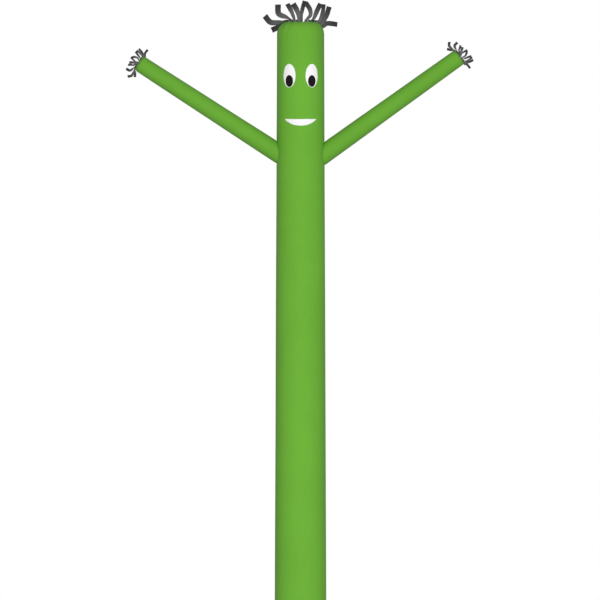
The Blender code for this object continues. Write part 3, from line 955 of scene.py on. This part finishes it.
# ----------------------------------------
# The stitching. Two rows of green lockstitch hold the foot's hem and the back seam, and one row
# holds each other hem and seam. One more goes round each sleeve on the tube. The patches are
# edged with dense satin stitch in their own colour.
# ----------------------------------------
STITCH_LIFT = 0.0002  # how far off the cloth the middle of a thread lies
JOINT_ROW = 0.0055  # from a sleeve's seam to the row of stitches on the tube
SLEEVE_ROW = 0.0065  # from there to the row on the sleeve
TUBE_STITCH = {"Pitch": 0.007, "Stitch Length": 0.0055}
SLEEVE_STITCH = {"Pitch": 0.006, "Stitch Length": 0.0045}
EDGING = {"Pitch": 0.0012, "Stitch Length": 0.0042, "Thread Thickness": 0.0014,
          "Slant": radians(84)}
EDGING_INSET = 0.0014
EDGING_LIFT = 0.0008


def make_stitch_tree():
    """Sets one short raised thread after another along a line."""
    tree, given, result = new_group(
        "stitches", "GeometryNodeTree",
        {"Geometry": "Geometry", "Pitch": "Float", "Stitch Length": "Float",
         "Thread Thickness": 0.0011, "Slant": 0.0, "Thread": "Material"}, {"Geometry": "Geometry"})
    curve = add_node(tree, "GeometryNodeMeshToCurve", {"Mesh": given["Geometry"]})
    curve = add_node(tree, "GeometryNodeResampleCurve",
                     {"Curve": curve, "Length": given["Pitch"]}, mode="LENGTH")
    turn = add_node(tree, "FunctionNodeAlignRotationToVector",
                    {"Vector": add_node(tree, "GeometryNodeInputTangent")}, axis="X")
    turn = add_node(tree, "FunctionNodeAlignRotationToVector",
                    {"Rotation": turn, "Vector": attribute(tree, "aim", "FLOAT_VECTOR")},
                    axis="Z", pivot_axis="X")
    jitter = add_node(tree, "FunctionNodeRandomValue", {2: -0.07, 3: 0.07, "Seed": 5}, out=1,
                      data_type="FLOAT")
    slant = add_node(tree, "ShaderNodeCombineXYZ",
                     {"Z": maths(tree, "ADD", given["Slant"], jitter)})
    slant = add_node(tree, "FunctionNodeEulerToRotation", {0: slant})
    turn = add_node(tree, "FunctionNodeRotateRotation", {0: turn, 1: slant},
                    rotation_space="LOCAL")
    thread = add_node(tree, "GeometryNodeMeshUVSphere",
                      {"Segments": 6, "Rings": 4, "Radius": 0.5})
    thickness = given["Thread Thickness"]
    size = add_node(tree, "ShaderNodeCombineXYZ",
                    {"X": given["Stitch Length"], "Y": thickness, "Z": thickness})
    rows = add_node(tree, "GeometryNodeInstanceOnPoints",
                    {"Points": curve, "Instance": thread, "Rotation": turn, "Scale": size})
    return finish_tree(tree, result, rows, given["Thread"])


def stitch_line(place_at, points, lift=STITCH_LIFT):
    """A line on the cloth for stitches to follow. Its stops aim straight out of the cloth."""
    line = []
    for point in points:
        place = place_at(*point, lift)
        line.append((place, (place_at(*point, lift + 0.01) - place).normalized(), 0.0, 0.0))
    return line


def sew(name, lines, stitch=TUBE_STITCH, slot="tube_cloth", closed=True):
    """Stitch along the lines, with thread of the colour of the slot's cloth."""
    values = {"Thread": threads[slot], **stitch}
    return fit(grow(path_object(name, lines, closed), stitch_tree, values), slot)


def joint_ring(sleeve):
    """Angles and heights on the tube, just outside a sleeve's seam."""
    ring = []
    for turn in full_turn(90):
        along = sleeve_root(sleeve, turn)
        radius = sleeve_radius(sleeve, along) + JOINT_ROW
        place = sleeve_frame(sleeve) @ round_place(radius, turn, along)
        ring.append((atan2(place.x, -place.y), place.z))
    return ring


def edging_line(patch):
    """Where the satin stitch runs, a little inside the patch's edge."""
    def place_at(along, height, lift):
        return face_place(along, height, patch.middle, patch.under(along, height) + lift)

    points = [between(point, patch.centre, EDGING_INSET / dist(point, patch.centre))
              for point in patch.edge]
    return stitch_line(place_at, points, EDGING_LIFT)


stitch_tree = make_stitch_tree()
threads = {
    slot: woven_material(name, colour, 0.2, Dye_Unevenness=0.06, Thread_Relief=0.0,
                         Ripstop_Relief=0.0, Crinkle_Relief=0.0)
    for slot, name, colour in (("tube_cloth", "Green thread", (0.110, 0.330, 0.035)),
                               ("white_patch", "White thread", (0.90, 0.89, 0.90)),
                               ("black_patch", "Black thread", (0.012, 0.010, 0.011)))}

hem_rings = [[(turn, rise) for turn in full_turn(180)]
             for rise in (*FOOT_STITCHES, SHOULDER + CROWN_CLOTH * 0.9)]
hem_rings += [joint_ring(sleeve) for sleeve in SLEEVES]
tube_hems = sew("tube_hem_stitches", [stitch_line(tube_place, ring) for ring in hem_rings])

rises = spread(0.004, SHOULDER + CROWN_CLOTH * 0.95, 0.02)
seam_rows = [stitch_line(tube_place, [(back_seam_angle(rise, offset), rise) for rise in rises],
                         SEAM_HEIGHT * 0.65) for offset in (-0.28, 0.28)]
tube_seam = sew("back_seam_stitches", seam_rows, closed=False)

for sleeve in SLEEVES:
    on_sleeve = partial(sleeve_place, sleeve)
    turns = full_turn(SLEEVE_COLUMNS)
    rings = [[(turn, SLEEVE_ROW) for turn in turns],
             [(turn, sleeve_wall(sleeve, turn) + HAND_CLOTH * 0.82) for turn in turns]]
    hems = sew("sleeve_hem_stitches_" + sleeve.name,
               [stitch_line(on_sleeve, ring) for ring in rings], SLEEVE_STITCH)
    start = underside(sleeve)
    end = sleeve_wall(sleeve, start) + HAND_CLOTH * 0.8
    down = [(start, beyond) for beyond in spread(0.006, end, 0.015)]
    line = stitch_line(on_sleeve, down, UNDER_SEAM_HEIGHT * 0.8)
    seam = sew("under_seam_stitches_" + sleeve.name, [line], SLEEVE_STITCH, closed=False)

edgings = {patch.name: sew(patch.name + "_edging", [edging_line(patch)], EDGING, patch.slot)
           for patch in face}

# What each cloth piece was before it was sewn and blown up, in metres.
cut_strips = [("head", tube, (0.62, 0.33), 0.123)]
cut_strips += [("hand_" + sleeve.name, sleeves[sleeve], (0.27, 0.16), 0.029)
               for sleeve in SLEEVES]


# ----------------------------------------
# The studio: a pale floor, one broad soft light in front and a little to the right, a weaker
# one behind, and a level camera far enough away to show the dancer almost without perspective.
# ----------------------------------------
VIEW_WIDTH = 5.244  # metres across the frame, at the dancer
VIEW_MIDDLE = -0.0048
VIEW_HEIGHT = 3.479
VIEW_DISTANCE = 200.0
AMBIENT = 0.355  # light from all round
FLOOR_RADIUS = 5.0
WHITE = (1.0, 1.0, 1.0, 1.0)


def add_sun(name, azimuth, elevation, power, softness):
    light = bpy.data.lights.new(name, "SUN")
    light.energy = power
    light.angle = radians(softness)
    lamp = new_object(name, light)
    lamp.rotation_euler = (radians(90 - elevation), 0.0, radians(azimuth))
    lamp.visible_glossy = False


add_sun("Front softbox", azimuth=3.8, elevation=2, power=2.22, softness=26)
add_sun("Back softbox", azimuth=180, elevation=1, power=1.5, softness=20)

# The backdrop looks plain white and lights the dancer only softly.
world = bpy.data.worlds.new("White studio")
world.use_nodes = True
tree = world.node_tree
seen = add_node(tree, "ShaderNodeLightPath", out="Is Camera Ray")
strength = maths(tree, "MULTIPLY_ADD", seen, 1.0 - AMBIENT, AMBIENT)
feed(tree, tree.nodes["Background"], {"Color": WHITE, "Strength": strength})
bpy.context.scene.world = world

# The floor is pale round the dancer and fades into the white backdrop.
floor_shape = bmesh.new()
bmesh.ops.create_circle(floor_shape, cap_ends=True, segments=96, radius=FLOOR_RADIUS)
floor = finish_sheet("floor", floor_shape, 0.0)
floor_paint, tree, shader = new_material("Pale floor")
seen = add_node(tree, "ShaderNodeLightPath", out="Is Camera Ray")
away = add_node(tree, "ShaderNodeVectorMath",
                {0: add_node(tree, "ShaderNodeTexCoord", out="Object")}, out="Value",
                operation="LENGTH")
fade = remap(tree, away, 1.0, FLOOR_RADIUS - 0.1, 0.55, 0.72)
feed(tree, shader, {"Base Color": (0.82, 0.82, 0.82, 1.0), "Roughness": 0.7,
                    "Emission Color": WHITE,
                    "Emission Strength": maths(tree, "MULTIPLY", seen, fade)})
floor.data.materials.append(floor_paint)

camera_data = bpy.data.cameras.new("Camera")
camera_data.sensor_width = 36.0
camera_data.lens = camera_data.sensor_width * VIEW_DISTANCE / VIEW_WIDTH
camera_data.clip_end = 2 * VIEW_DISTANCE
camera = new_object("Camera", camera_data)
camera.location = (VIEW_MIDDLE, -VIEW_DISTANCE, VIEW_HEIGHT)
camera.rotation_euler = (radians(90), 0.0, 0.0)
bpy.context.scene.camera = camera
bpy.context.scene.view_settings.view_transform = "Standard"
